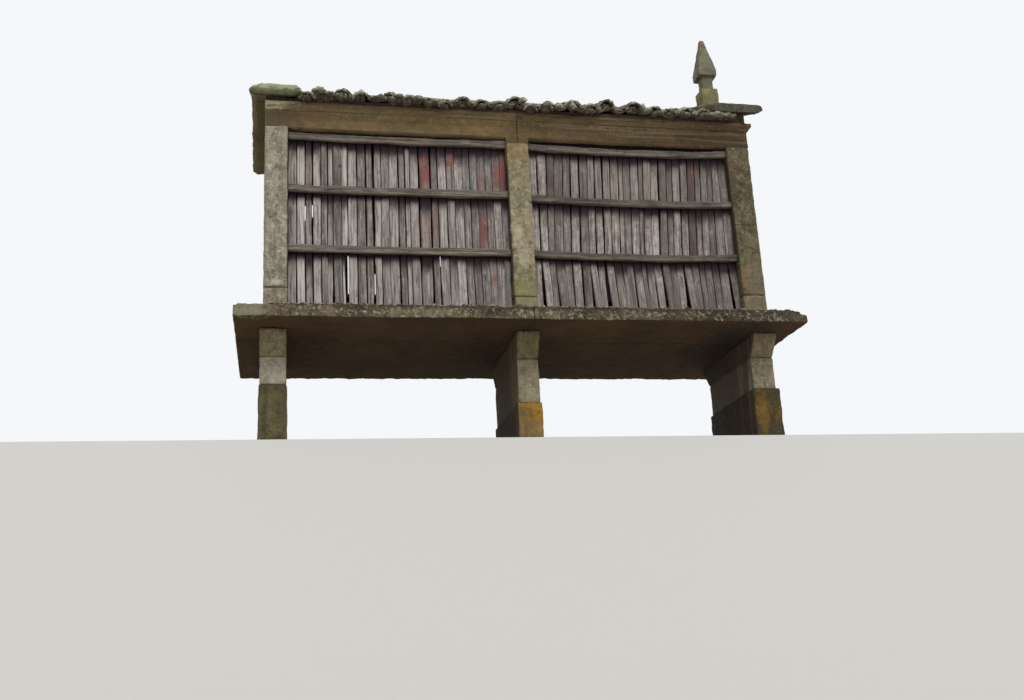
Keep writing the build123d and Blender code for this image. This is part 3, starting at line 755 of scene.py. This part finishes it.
def shell_faces(rows, arcs):
    """Faces of an outer and an inner skin of rows of points, joined round their border."""
    size = rows * arcs
    faces = []
    for row in range(rows - 1):
        for arc in range(arcs - 1):
            a = row * arcs + arc
            quad = (a, a + 1, a + arcs + 1, a + arcs)
            faces += [quad, tuple(size + number for number in reversed(quad))]
    border = list(range(arcs))
    border += [row * arcs + arcs - 1 for row in range(1, rows)]
    border += [(rows - 1) * arcs + arc for arc in range(arcs - 2, -1, -1)]
    border += [row * arcs for row in range(rows - 2, 0, -1)]
    for a, b in zip(border, border[1:] + border[:1]):
        faces.append((b, a, a + size, b + size))
    return faces


def add_lump(skin, centre, halves, seed, tone, rough=0.5, rings=9, around=13):
    """One knobbly stone or clod, whose look holds its tone and how high each point lies on it."""
    points, looks = [], []
    for ring in range(rings):
        polar = pi * (ring + 0.5) / rings
        for number in range(around):
            turn = 2 * pi * number / around
            way = Vector((sin(polar) * cos(turn), sin(polar) * sin(turn), cos(polar)))
            size = 1 + rough * noise.fractal(way * 1.9 + Vector((seed, seed * 2.3, 0)), 0.7, 2.1, 4)
            points.append(tuple(middle + half * part * size
                                for middle, half, part in zip(centre, halves, way)))
            looks.append((tone, way.z, 0.0))
    skin.add(points, tube_faces(rings, around), looks, flipped=True)


def add_rim(skin, x, down, mouth, height, front, seed, tone):
    """A lumpy roll of moss over the mouth of a cover tile."""
    rings, around = 19, 9
    points, looks = [], []
    for ring in range(rings):
        angle = radians(-84 + 168 * ring / (rings - 1))
        thick = 0.35 + 1.5 * max(0.0, 0.25 + noise.fractal(Vector((seed, angle * 1.9, 3.0)), 0.8, 2.1, 3))
        thick *= 0.45 + 0.55 * cos(angle)
        for number in range(around):
            turn = 2 * pi * number / around
            knob = 1 + 0.35 * wave(seed + cos(turn), sin(turn), angle * 4)
            out = mouth - 0.006 + 0.017 * thick * knob * cos(turn)
            along = 0.03 * (0.6 + 0.4 * thick) * knob * sin(turn)
            points.append(tile_point(x + out * sin(angle), down + along, height + out * cos(angle), front))
            looks.append((tone, 0.75 * cos(angle) + 0.45 * cos(turn) - 0.35, 0.0))
    skin.add(points, tube_faces(rings, around), looks, flipped=front)


def grit_place(draw, number, halves, reach_x, reach_y):
    """Where a bit of grit lies: eight in ten along the long edges, more of those at the front."""
    if number % 10 < 8:
        front = -1 if number % 10 < 5 else 1
        x = draw.uniform(-reach_x + 0.3, reach_x - 0.05)
        return x, front * (reach_y - halves[1] * 1.6 - 0.045 * draw.random() ** 3)
    side = -1 if number % 2 else 1
    x = side * (reach_x - halves[0] * 1.6 - 0.12 * draw.random() ** 2)
    return x, draw.uniform(-reach_y + 0.05, reach_y - 0.05)


def add_grit():
    """Small stones and clods that lie along the washed edges of the platform."""
    skin = Skin()
    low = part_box("front_left_slab")[0]
    reach_x, reach_y = -low.x, -low.y
    draw = random.Random(23)
    for number in range(grit_count):
        size = 0.009 + 0.018 * draw.random() ** 2
        halves = [size * draw.uniform(*spread) for spread in ((0.9, 2.0), (0.8, 1.2), (0.55, 0.9))]
        x, y = grit_place(draw, number, halves, reach_x, reach_y)
        end = "left" if x < 0 else "right"
        drop = max(platform_drops["side"] * max(0.0, abs(y) - wall_y) / (reach_y - wall_y),
                   platform_drops[end] * max(0.0, abs(x) - wall_x) / (reach_x - wall_x))
        z = platform_z - drop + halves[2] * draw.uniform(0.2, 0.75)
        add_lump(skin, (x, y, z), halves, number * 1.7, draw.random(), 0.45, 5, 7)
    skin.piece("platform_grit", "platform_granite", "platform_grit")


def sag_at(x, bay):
    """How far the rails of a bay hang down at x."""
    low, high = post_inner_edges[bay]
    share = min(1, max(0, (x - low) / (high - low)))
    return rail_sags[bay] * 4 * share * (1 - share)


def shade_below(x, z, bay, depths):
    """How much darker a wall board is, close under a rail or under the lintel."""
    sag = sag_at(x, bay)
    amount = 0.0
    for under, depth in zip(rail_undersides[bay], depths):
        gap = platform_z + under - sag - z
        if gap > -0.03:
            amount = max(amount, 0.95 * exp(-(max(gap, 0) / (rail_shadow * depth)) ** 1.8))
    if z > platform_z + rail_undersides[bay][0] - sag + 0.06:
        amount = 0.97
    return amount


def eased(value):
    """A smooth step from 0 at 0 to 1 at 1."""
    value = min(1.0, max(0.0, value))
    return value * value * (3 - 2 * value)


def leaning(x, z, bay):
    """How far a leaning bay's board moves along the wall; boards beside the posts stay with them."""
    low, high = post_inner_edges[bay]
    share = (x - low) / (high - low)
    free = eased(share / 0.12) * eased((1 - share) / 0.16) * (1 + 0.4 * eased((share - 0.4) / 0.2))
    return board_lean * free * (max(z, lowest_rails[bay]) - board_lean_level)


class Wall:
    """Split, warped boards with ragged feet, one for each solid of the wall's node."""

    def __init__(self, name, axis, front_sign, bay=None, looks=(), splay=0.0, ragged=0.035,
                 joint=front_joint, slits=(), broken=(), gaps=(), leans=False):
        self.axis, self.front_sign, self.bay = axis, front_sign, bay
        self.splay, self.ragged, self.broken, self.leans = splay, ragged, broken, leans
        self.loose = joint > 0
        self.solids = sorted(islands(f"{name}_slats"), key=lambda solid: solid[0][axis])
        self.edges = [[low[axis], high[axis]] for low, high in self.solids]
        self.gapes = [1.0] * (len(self.edges) + 1)
        self.openings = {}
        self.set_joints(joint, gaps)
        self.set_slits(slits)
        if bay:
            self.edges[0][0], self.edges[-1][1] = post_inner_edges[bay]
        skin = Skin()
        for number in range(len(self.solids)):
            Board(self, number, looks[number] if number in looks else None).add_to(skin)
        skin.piece(f"{name}_boards", "wall_slats", "weathered_boards", [f"{name}_slats"])

    def set_joints(self, joint, gaps):
        """Set how far each two boards gape, wider where a gap is asked for."""
        for number, (before, after) in enumerate(zip(self.edges, self.edges[1:]), 1):
            middle = (before[1] + after[0]) / 2
            if self.loose:
                self.gapes[number] = 0.45 + 1.5 * rng.random() ** 1.6
            if any(abs(middle - x) < 0.038 for x in gaps):
                self.gapes[number] = 2.6
            before[1] = middle - joint / 2 * self.gapes[number]
            after[0] = middle + joint / 2 * self.gapes[number]

    def set_slits(self, slits):
        """Let two boards meet at each slit and part between its levels."""
        for x, lowest, highest in slits:
            here = min(range(len(self.edges) - 1), key=lambda number: abs(self.edges[number][1] - x))
            self.edges[here][1] = self.edges[here + 1][0] = x
            self.openings[here, 1] = self.openings[here + 1, 0] = (lowest, highest)

    def levels(self, low, high):
        """Levels for the rings of a board, closer together under the rails and round the slits."""
        marks = {low, high, low + 0.03, low + 0.07}
        if self.bay:
            for under in rail_undersides[self.bay]:
                marks |= {platform_z + under - gap for gap in steps_under_rails}
        for lowest, highest in self.openings.values():
            marks |= {lowest - 0.01, lowest + 0.01, highest - 0.01, highest + 0.01}
        for number in range(1, int((high - low) / board_step)):
            level = low + number * board_step
            if all(abs(level - mark) > 0.03 for mark in marks):
                marks.add(level)
        return sorted(mark for mark in marks if low <= mark <= high)


class Board:
    """One board of a wall: where it stands, and what sets it apart from the others."""

    def __init__(self, wall, number, look):
        low, high = wall.solids[number]
        self.wall, self.number = wall, number
        self.start, end = wall.edges[number]
        self.width = end - self.start
        self.face = (high if wall.front_sign > 0 else low)[1 - wall.axis]
        self.thick = high[1 - wall.axis] - low[1 - wall.axis]
        self.foot, self.head = low[2], high[2]
        self.seed = uniform(0, 90)
        self.tint = rng.random()
        self.paint, self.paint_low, self.paint_high = 0.0, 0.0, 9.0
        self.shadow_depths = [uniform(0.4, 1.75) for _ in range(3)]
        if rng.random() < 0.08:
            self.paint = uniform(0.1, 0.3)
        if look:
            self.tint, self.paint, self.paint_low, self.paint_high = look
        self.tilt, self.foot_lean = 0.0, 0.0
        if wall.loose:
            self.tilt = uniform(-0.004, 0.004)
            self.foot_lean = wall.splay * uniform(0.2, 1.3) + uniform(-0.006, 0.006)
        self.sunk = uniform(0, 0.008)
        # How dark the foot is, by dirt and by painted shade where it meets the slab; it also sets how ragged
        # the foot is
        self.foot_dirt_and_shade = uniform(0.2, 0.8)

    def lean(self, level):
        """How far the board stands aside at a level, further below the lowest rail."""
        lean = self.tilt * ((level - self.foot) / (self.head - self.foot) - 0.5)
        if self.wall.bay and 0 < self.number < len(self.wall.solids) - 1:
            lowest = lowest_rails[self.wall.bay]
            lean += self.foot_lean * max(0.0, (lowest - level) / (lowest - self.foot))
        return lean

    def inset(self, side, level):
        """How far an edge is drawn in at a level, by wear, by a slit or where it has broken off."""
        inset = 0.0
        if self.wall.loose:
            wear = 1 + 1.6 * wave(self.seed, 1.0 + side * 8, level * 3.6)
            inset = 0.0022 * wear * self.wall.gapes[self.number + side]
        span = self.wall.openings.get((self.number, side))
        if span:
            inset = 0.005 if span[0] < level < span[1] else -0.002
        if (self.number, side) in self.wall.broken:
            highest, depth, run = self.wall.broken[self.number, side]
            if level < highest:
                inset += depth * min(1.0, (highest - level) / run)
                inset += 0.006 * wave(self.seed, 3.0, level * 9)
        return inset

    def ring(self, level):
        """Points round the board: how far along, how deep, how much higher, and how dark a seam."""
        left, right = self.inset(0, level), self.inset(1, level)
        ring = []
        for column in board_columns:
            rise, seam, edge = 0.0, 0.0, 0.0
            if level == self.foot:
                rough = wave(self.seed + column * 3.0, 4.0, 0.0)
                rise = self.wall.ragged * (0.4 + self.foot_dirt_and_shade) * max(0.0, 0.35 + rough)
            if column in (0.0, 1.0):
                seam = 0.0 if self.wall.loose else 0.85
                edge = 0.001 + 0.004 * self.wall.gapes[self.number + round(column)]
            relief = 0.003 * folds(self.seed + column * self.width * 60, 2.0, level * 1.5)
            along = left + column * (self.width - left - right)
            ring.append((along, self.sunk + edge + seam * 0.005 + max(0, relief + 0.001), rise, seam))
        back = self.thick - 0.001
        ring += [(ring[-1][0], back, ring[-1][2], 0.0), (ring[0][0], back, ring[0][2], 0.0)]
        return ring

    def add_to(self, skin):
        wall = self.wall
        points, looks, grains = [], [], []
        levels = wall.levels(self.foot, self.head - 0.001)
        for level in levels:
            lean = self.lean(level)
            # Dirt and painted shade at the foot of the board
            dirt_and_shade = self.foot_dirt_and_shade * exp(-max(0.0, level - self.foot) / 0.045)
            paint = self.paint if self.paint_low <= level <= self.paint_high else 0.0
            for along, depth, rise, seam in self.ring(level):
                place = self.start + along + lean
                if wall.leans:
                    place += leaning(place, level, wall.bay)
                face = self.face - wall.front_sign * min(depth, self.thick)
                point = (face, place, level + rise) if wall.axis else (place, face, level + rise)
                shadow = shade_below(point[0], point[2], wall.bay, self.shadow_depths) if wall.bay else 0.0
                points.append(point)
                looks.append((self.tint, paint, max(shadow, seam, dirt_and_shade)))
                grains.append((self.seed + along * 75, depth * 75 + self.number * 3.7, point[2] * 2.4))
        skin.add(points, tube_faces(len(levels), len(board_columns) + 2), looks, grains,
                 flipped=(wall.front_sign < 0) != (wall.axis == 0))


def rail_looks(points):
    """A paler lower lip along each rail, and the rails of the right bay darker."""
    looks = np.tile((0.45, 0.0, 0.0), (len(points), 1))
    for look, (x, y, z) in zip(looks, points):
        bay = "left" if x < 0 else "right"
        sag = sag_at(x, bay)
        for under in rail_undersides[bay]:
            up = z - platform_z - under + sag
            if -0.03 < up < 0.11:
                edge = 0.03 + 0.016 * wave(x * 2.4, under * 5, 0.0)
                look[0] = 0.8 if up < edge else 0.25
                look[2] = 0.28 if bay == "right" else 0.0
    return looks


def add_rails(node, along):
    """Roughly squared poles, worn along the grain, with a paler lower lip."""
    mesh = remeshed(node, 0.012, 1)
    roughen(mesh, 0.012, 26, 17 + len(node), [0.12 if axis == along else 1 for axis in range(3)])
    roughen(mesh, 0.012, 3, 29 + len(node), octaves=2)
    points = vectors_of(mesh, "co")
    looks = (0.45, 0.0, 0.0)
    if along == 0:
        for low, high in post_inner_edges.values():
            here = (points[:, 0] > low - 0.05) & (points[:, 0] < high + 0.05)
            middle = (low + high) / 2
            points[here, 0] = middle + (points[here, 0] - middle) * (1 + 0.012 / (high - low))
        set_points(mesh, points)
        looks = rail_looks(points)
    set_looks(mesh, looks, points[:, (2, 1 - along, along)] * (80, 80, 2.4))
    mesh_piece(node + "_wood", mesh, "weathered_rails", [node])


def dress_node(node, material, grain_axis):
    """Keep a node as it is, with a wood finish whose grain runs along an axis."""
    mesh = nodes[node].data
    order = [axis for axis in range(3) if axis != grain_axis] + [grain_axis]
    set_looks(mesh, (0.5, 0.1, 0.0), vectors_of(mesh, "co")[:, order] * (60, 60, 2.4))
    mesh.materials.clear()
    mesh.materials.append(bpy.data.materials[material])


def add_walls():
    """Boards and rails; a look is a board's tint and its paint, with the levels between which it lasts."""
    top, middle, low = (platform_z + level for level in rail_undersides["left"])
    left_looks = {
        0: (0.5, 0.0, 0, 9), 1: (1.0, 0.0, 0, 9), 2: (0.35, 0.66, middle, 9), 3: (0.75, 0.0, 0, 9),
        4: (0.25, 0.0, 0, 9), 5: (0.55, 0.0, 0, 9), 7: (1.0, 0.0, 0, 9), 8: (0.75, 0.0, 0, 9),
        16: (0.45, 0.4, low, middle), 17: (0.5, 0.82, middle - 0.06, 9), 18: (0.15, 0.55, low, middle),
        20: (0.35, 0.84, top - 0.2, 9), 24: (0.15, 0.72, low, 9), 25: (0.2, 0.72, low - 0.35, low),
        26: (0.6, 0.82, middle + 0.1, 9), 27: (0.4, 0.95, middle - 0.1, 9)}
    left_front = {"looks": left_looks, "gaps": (-1.46,), "broken": {(7, 1): (low, 0.034, 0.01)}}
    top, middle, low = (platform_z + level for level in rail_undersides["right"])
    right_looks = {
        2: (0.2, -0.8, middle, 9), 21: (0.2, -0.9, low, 9), 22: (0.3, -0.5, 0, low), 23: (0.3, -0.5, 0, low),
        6: (0.1, -0.4, 0, 9), 10: (0.85, 0.0, 0, 9), 15: (0.9, 0.0, 0, 9)}
    right_front = {"looks": right_looks, "leans": True, "broken": {(26, 0): (low, 0.04, 0.45)}}
    left_back = {"joint": tight_joint, "slits": back_slits}
    right_back = {"joint": tight_joint}
    for row, front_sign, left, right in (("front", -1, left_front, right_front),
                                         ("back", 1, left_back, right_back)):
        Wall(f"{row}_left", 0, front_sign, "left", splay=foot_splays["left"], **left)
        Wall(f"{row}_right", 0, front_sign, "right", splay=foot_splays["right"], **right)
        add_rails(f"{row}_rails", 0)
    Wall("right_end", 1, 1)
    Wall("left_end", 1, -1, ragged=0.01)
    add_rails("right_end_rails", 1)
    dress_node("door_frame", "weathered_rails", 2)
    dress_node("granary_door", "weathered_door", 2)
    for node in ("front_roof_boards", "back_roof_boards", "ridge_beam"):
        dress_node(node, "dark_boards", 0)


def tile_point(x, down, height, front):
    """A point on the front or the back slope, from its distance down from the ridge and off the boards."""
    y = deck_ridge_y + down * cos(roof_slope) + height * sin(roof_slope)
    z = deck_top - down * sin(roof_slope) + height * cos(roof_slope)
    return (x, -y if front else y, z)


def add_tile(skin, x, top, length, cover, lift, front, radii):
    """One half-round tile: a shell with an outer and an inner face."""
    seed = uniform(0, 90)
    tone = rng.random()
    turn = uniform(-0.05, 0.05)
    sway = uniform(-0.008, 0.008)
    plump = uniform(0.93, 1.06)
    rows, arcs = 9, 13
    spread = radians(78 if cover else 70)
    outer, inner, looks = [], [], []
    for row in range(rows):
        share = row / (rows - 1)
        down = top + share * length
        radius = (radii[0] + (radii[1] - radii[0]) * share) * plump
        for arc in range(arcs):
            angle = -spread + 2 * spread * arc / (arcs - 1)
            rough = 0.004 * folds(seed + angle * 2.4, share * 3, 0)
            crust = 0.022 * max(0.0, 0.1 + folds(seed + angle * 3.5, share * 9, 5))
            nibble = 0.022 * wave(seed + angle * 3.1, 7, share) if row in (0, rows - 1) else 0.0
            crown = (cos(angle) - cos(spread)) / (1 - cos(spread))
            looks.append((tone, crown if cover else 0.35 - 0.35 * crown, share))
            for ring, r in ((outer, radius + rough + crust), (inner, radius - tile_thickness + rough)):
                if cover:
                    height = r * cos(angle) - radius * cos(spread) * 0.9
                else:
                    height = radii[1] + 0.002 - r * cos(angle)
                height += lift + share * 0.004
                side = r * sin(angle) + sway + turn * (share - 0.5) * length
                ring.append(tile_point(x + side, down + nibble, height, front))
    skin.add(outer + inner, shell_faces(rows, arcs), looks * 2, flipped=front)


def add_column(skin, x, pan_x, lift, mouth, front):
    """A column of covers from ridge to eave with the pans beside it; gives back where it ends."""
    step = (slope_length - tile_length) / (tile_courses - 1)
    for course in range(tile_courses):
        top = 0.02 + course * step + uniform(-0.008, 0.008)
        length = tile_length
        if course == tile_courses - 1:
            length += uniform(-0.035, 0.014)
        share = course / (tile_courses - 1)
        add_tile(skin, x + uniform(-0.006, 0.006), top, length, True,
                 0.028 + lift * share * 0.75 + uniform(-0.002, 0.004), front, (cover_top_radius, mouth))
        add_tile(skin, pan_x + uniform(-0.006, 0.006), top + 0.01, length - 0.03,
                 False, uniform(0, 0.003), front, (pan_radius, pan_foot_radius))
    return top + length


def add_bedding(mortar, x, pan_x, end, lift, mouth, front):
    """Moss and mortar at a column's eave: over the cover's mouth, in it and in the pan."""
    fill = rng.random()
    sunk = 0.1 if fill < 0.2 else uniform(0.02, 0.06)
    add_rim(mortar, x, end - 0.02, mouth, 0.032 + lift * 0.75 - 0.187 * mouth, front,
            uniform(0, 90), uniform(0.1, 1.0))
    for _ in range(4):
        aside = uniform(-0.5, 0.5) * mouth
        raised = 0.022 + lift * 0.75 + uniform(0.0, 0.55) * (mouth - abs(aside)) * 0.8
        halves = (mouth * uniform(0.3, 0.5), 0.05, mouth * uniform(0.22, 0.36))
        centre = tile_point(x + aside, end - sunk + uniform(-0.02, 0.012), raised, front)
        add_lump(mortar, centre, halves, uniform(0, 90), fill * 0.5 + uniform(0, 0.5))
    centre = tile_point(pan_x, end - uniform(0.03, 0.06), 0.03, front)
    halves = (uniform(0.03, 0.05), 0.04, uniform(0.014, 0.024))
    add_lump(mortar, centre, halves, uniform(0, 90), rng.random())


def add_tiles():
    """Pans and covers in overlapping courses on both slopes, bedded in mortar at the eaves."""
    pitch = (tile_columns[-1] - tile_columns[0]) / (len(tile_columns) - 1)
    for side in ("front", "back"):
        front = side == "front"
        skin = Skin()
        mortar = Skin()
        places, lifts = tile_columns, tile_lifts
        if not front:
            places = [tile_columns[0] + number * pitch for number in range(len(tile_columns))]
            lifts = [uniform(-0.03, 0.01) for _ in places]
        for x, following, lift in zip(places, (*places[1:], places[-1] + pitch), lifts):
            pan_x = (x + following) / 2
            mouth = cover_radius + min(0, lift) * 0.35
            end = add_column(skin, x, pan_x, lift, mouth, front)
            add_bedding(mortar, x, pan_x, end, lift, mouth, front)
        if front:
            for x, y, z, half_x, half_z, tone in eave_stones:
                add_lump(mortar, (x, y, z), (half_x, 0.05, half_z), x * 7, tone)
        skin.piece(f"{side}_barrel_tiles", "roof_tiles", "mossy_tiles", [f"{side}_roof_tiles"])
        mortar.piece(f"{side}_eave_mortar", "roof_tiles", "eave_mortar")


def add_ridge_tiles():
    """Half-round tiles lapped along the ridge."""
    skin = Skin()
    low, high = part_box("ridge_tiles")
    pitch = (high.x - low.x - ridge_tile_lap) / ridge_tile_count
    rows, arcs = 7, 13
    for number in range(ridge_tile_count):
        seed = uniform(0, 90)
        look = (rng.random(), rng.random(), rng.random())
        outer, inner = [], []
        for row in range(rows):
            share = row / (rows - 1)
            x = low.x + number * pitch + share * (pitch + ridge_tile_lap)
            radius = ridge_tile_radius - 0.012 * share
            for arc in range(arcs):
                angle = radians(-92 + 184 * arc / (arcs - 1))
                rough = 0.004 * folds(seed + angle * 2, share * 3, 0) - 0.003
                for ring, r in ((outer, radius + rough), (inner, radius - tile_thickness + rough)):
                    ring.append((x, r * sin(angle), high.z - ridge_tile_radius + r * cos(angle)))
        skin.add(outer + inner, shell_faces(rows, arcs), [look] * (2 * rows * arcs))
    skin.piece("ridge_barrel_tiles", "roof_tiles", "mossy_tiles", ["ridge_tiles"])


def add_ridge_bedding():
    """Mortar packed under the ridge tiles, which closes the pans between the covers."""
    skin = Skin()
    low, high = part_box("ridge_tiles")
    bottom = deck_top - 0.03
    top = high.z - 0.07
    count = 2 * len(tile_columns)
    pitch = (high.x - low.x - 0.1) / count
    for number in range(count):
        centre = (low.x + 0.05 + (number + 0.5) * pitch, 0.0, (bottom + top) / 2)
        halves = (pitch * uniform(0.75, 0.95), 0.055, (top - bottom) / 2 * uniform(0.9, 1.05))
        add_lump(skin, centre, halves, uniform(0, 90), rng.random(), 0.25, 7, 11)
    skin.piece("ridge_mortar", "roof_tiles", "eave_mortar")


def stage_box(name, low, high):
    mesh = bpy.data.meshes.new(name)
    corners = [(x, y, z) for z in (low[2], high[2]) for y in (low[1], high[1]) for x in (low[0], high[0])]
    faces = [(0, 2, 3, 1), (4, 5, 7, 6), (0, 1, 5, 4), (2, 6, 7, 3), (0, 4, 6, 2), (1, 3, 7, 5)]
    mesh.from_pydata(corners, [], faces)
    mesh.materials.append(bpy.data.materials["pale_ground"])
    box = place_object(name, mesh)


def add_stage():
    stage_box("terrace", (-stage_reach, terrace_edge_y, lower_ground_z), (stage_reach, stage_reach, 0))
    stage_box("lower_ground", (-stage_reach, -stage_reach, lower_ground_z - 0.1),
              (stage_reach, terrace_edge_y, lower_ground_z))


def add_camera():
    data = bpy.data.cameras.new("camera")
    data.lens = camera_lens
    data.sensor_width = 36
    camera = place_object("camera", data)
    turns = Matrix.Translation(camera_place)
    for angle, axis in ((-camera_yaw, "Z"), (90 + camera_pitch, "X"), (camera_roll, "Z")):
        turns = turns @ Matrix.Rotation(radians(angle), 4, axis)
    camera.matrix_world = turns
    scene.camera = camera


def add_light():
    """Soft light of a covered sky, with a weak broad glow from the front and the right."""
    world = bpy.data.worlds.new("sky")
    scene.world = world
    world.use_nodes = True
    tree = world.node_tree
    tree.nodes.clear()
    direction = add_node(tree, "TexCoord").outputs["Generated"]
    height = add_node(tree, "SeparateXYZ", {0: direction}).outputs[2]
    strength = add_node(tree, "MapRange", {
        "Value": height, "From Min": 0.0, "From Max": 0.7, "To Min": 0.5, "To Max": 1.3}).outputs[0]
    sky = add_node(tree, "Background", {"Color": sky_colour, "Strength": strength})
    shown = add_node(tree, "Background", {"Color": linear((245, 247, 250)), "Strength": 1.0})
    ray = add_node(tree, "LightPath").outputs["Is Camera Ray"]
    mixed = add_node(tree, "MixShader", {0: ray, 1: sky.outputs[0], 2: shown.outputs[0]})
    add_node(tree, "OutputWorld", {"Surface": mixed.outputs[0]})
    lamp = bpy.data.lights.new("sun", "SUN")
    lamp.energy = lamp_strength
    lamp.angle = radians(lamp_spread)
    lamp.color = (1.0, 0.98, 0.94)
    place_object("sun", lamp).rotation_euler = [radians(angle) for angle in lamp_turn]


scene.view_settings.view_transform = "Standard"
add_stones()
add_grit()
add_walls()
add_tiles()
add_ridge_tiles()
add_ridge_bedding()
add_stage()
add_camera()
add_light()
